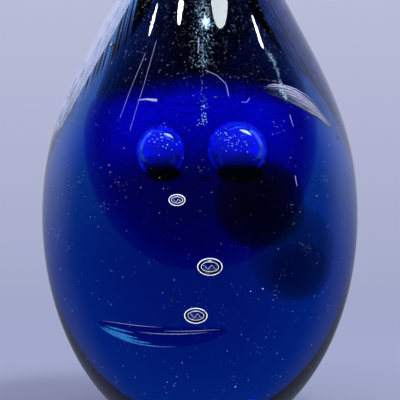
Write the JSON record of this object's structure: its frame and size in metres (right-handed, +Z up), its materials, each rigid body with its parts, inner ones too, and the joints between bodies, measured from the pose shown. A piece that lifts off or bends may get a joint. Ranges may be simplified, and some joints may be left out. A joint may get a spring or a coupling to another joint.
{
  "type": "teardrop glass paperweight",
  "caption": "Teardrop paperweight of layered hand-worked glass: clear casing over blue, a cobalt core and silver-dusted smoky neck inside, trapped air bubbles, ground flat below to stand on papers.",
  "frame": {"origin": "centre of the flat ground base", "axes": "+Z up through the pulled tip; +Y away from the front, where the two large bubbles show; +X to the right"},
  "size_m": [0.076, 0.076, 0.135],
  "materials": {
    "crystal": "fire-polished clear crystal",
    "blue_glass": "transparent blue",
    "cobalt": "transparent cobalt blue, deep",
    "smoke_glass": "dark smoky glass with silver dust",
    "air_pocket": "trapped air, bright rim"
  },
  "bodies": {
    "root": {"blue_overlay": "blue_glass", "clear_casing": "crystal", "cobalt_core": "cobalt", "fold_bubble": "air_pocket", "large_bubble_left": "air_pocket", "large_bubble_right": "air_pocket", "seed_bubble_01": "air_pocket", "seed_bubble_02": "air_pocket", "seed_bubble_03": "air_pocket", "seed_bubble_04": "air_pocket", "seed_bubble_05": "air_pocket", "seed_bubble_06": "air_pocket", "seed_bubble_07": "air_pocket", "seed_bubble_08": "air_pocket", "seed_bubble_09": "air_pocket", "seed_bubble_10": "air_pocket", "seed_bubble_11": "air_pocket", "seed_bubble_12": "air_pocket", "seed_bubble_13": "air_pocket", "seed_bubble_14": "air_pocket", "seed_bubble_15": "air_pocket", "seed_bubble_16": "air_pocket", "seed_bubble_17": "air_pocket", "seed_bubble_18": "air_pocket", "shoulder_bubble": "air_pocket", "small_bubble_lower": "air_pocket", "small_bubble_middle": "air_pocket", "small_bubble_upper": "air_pocket", "smoke_neck": "smoke_glass", "smoke_wisp": "smoke_glass"}
  },
  "joints": []
}
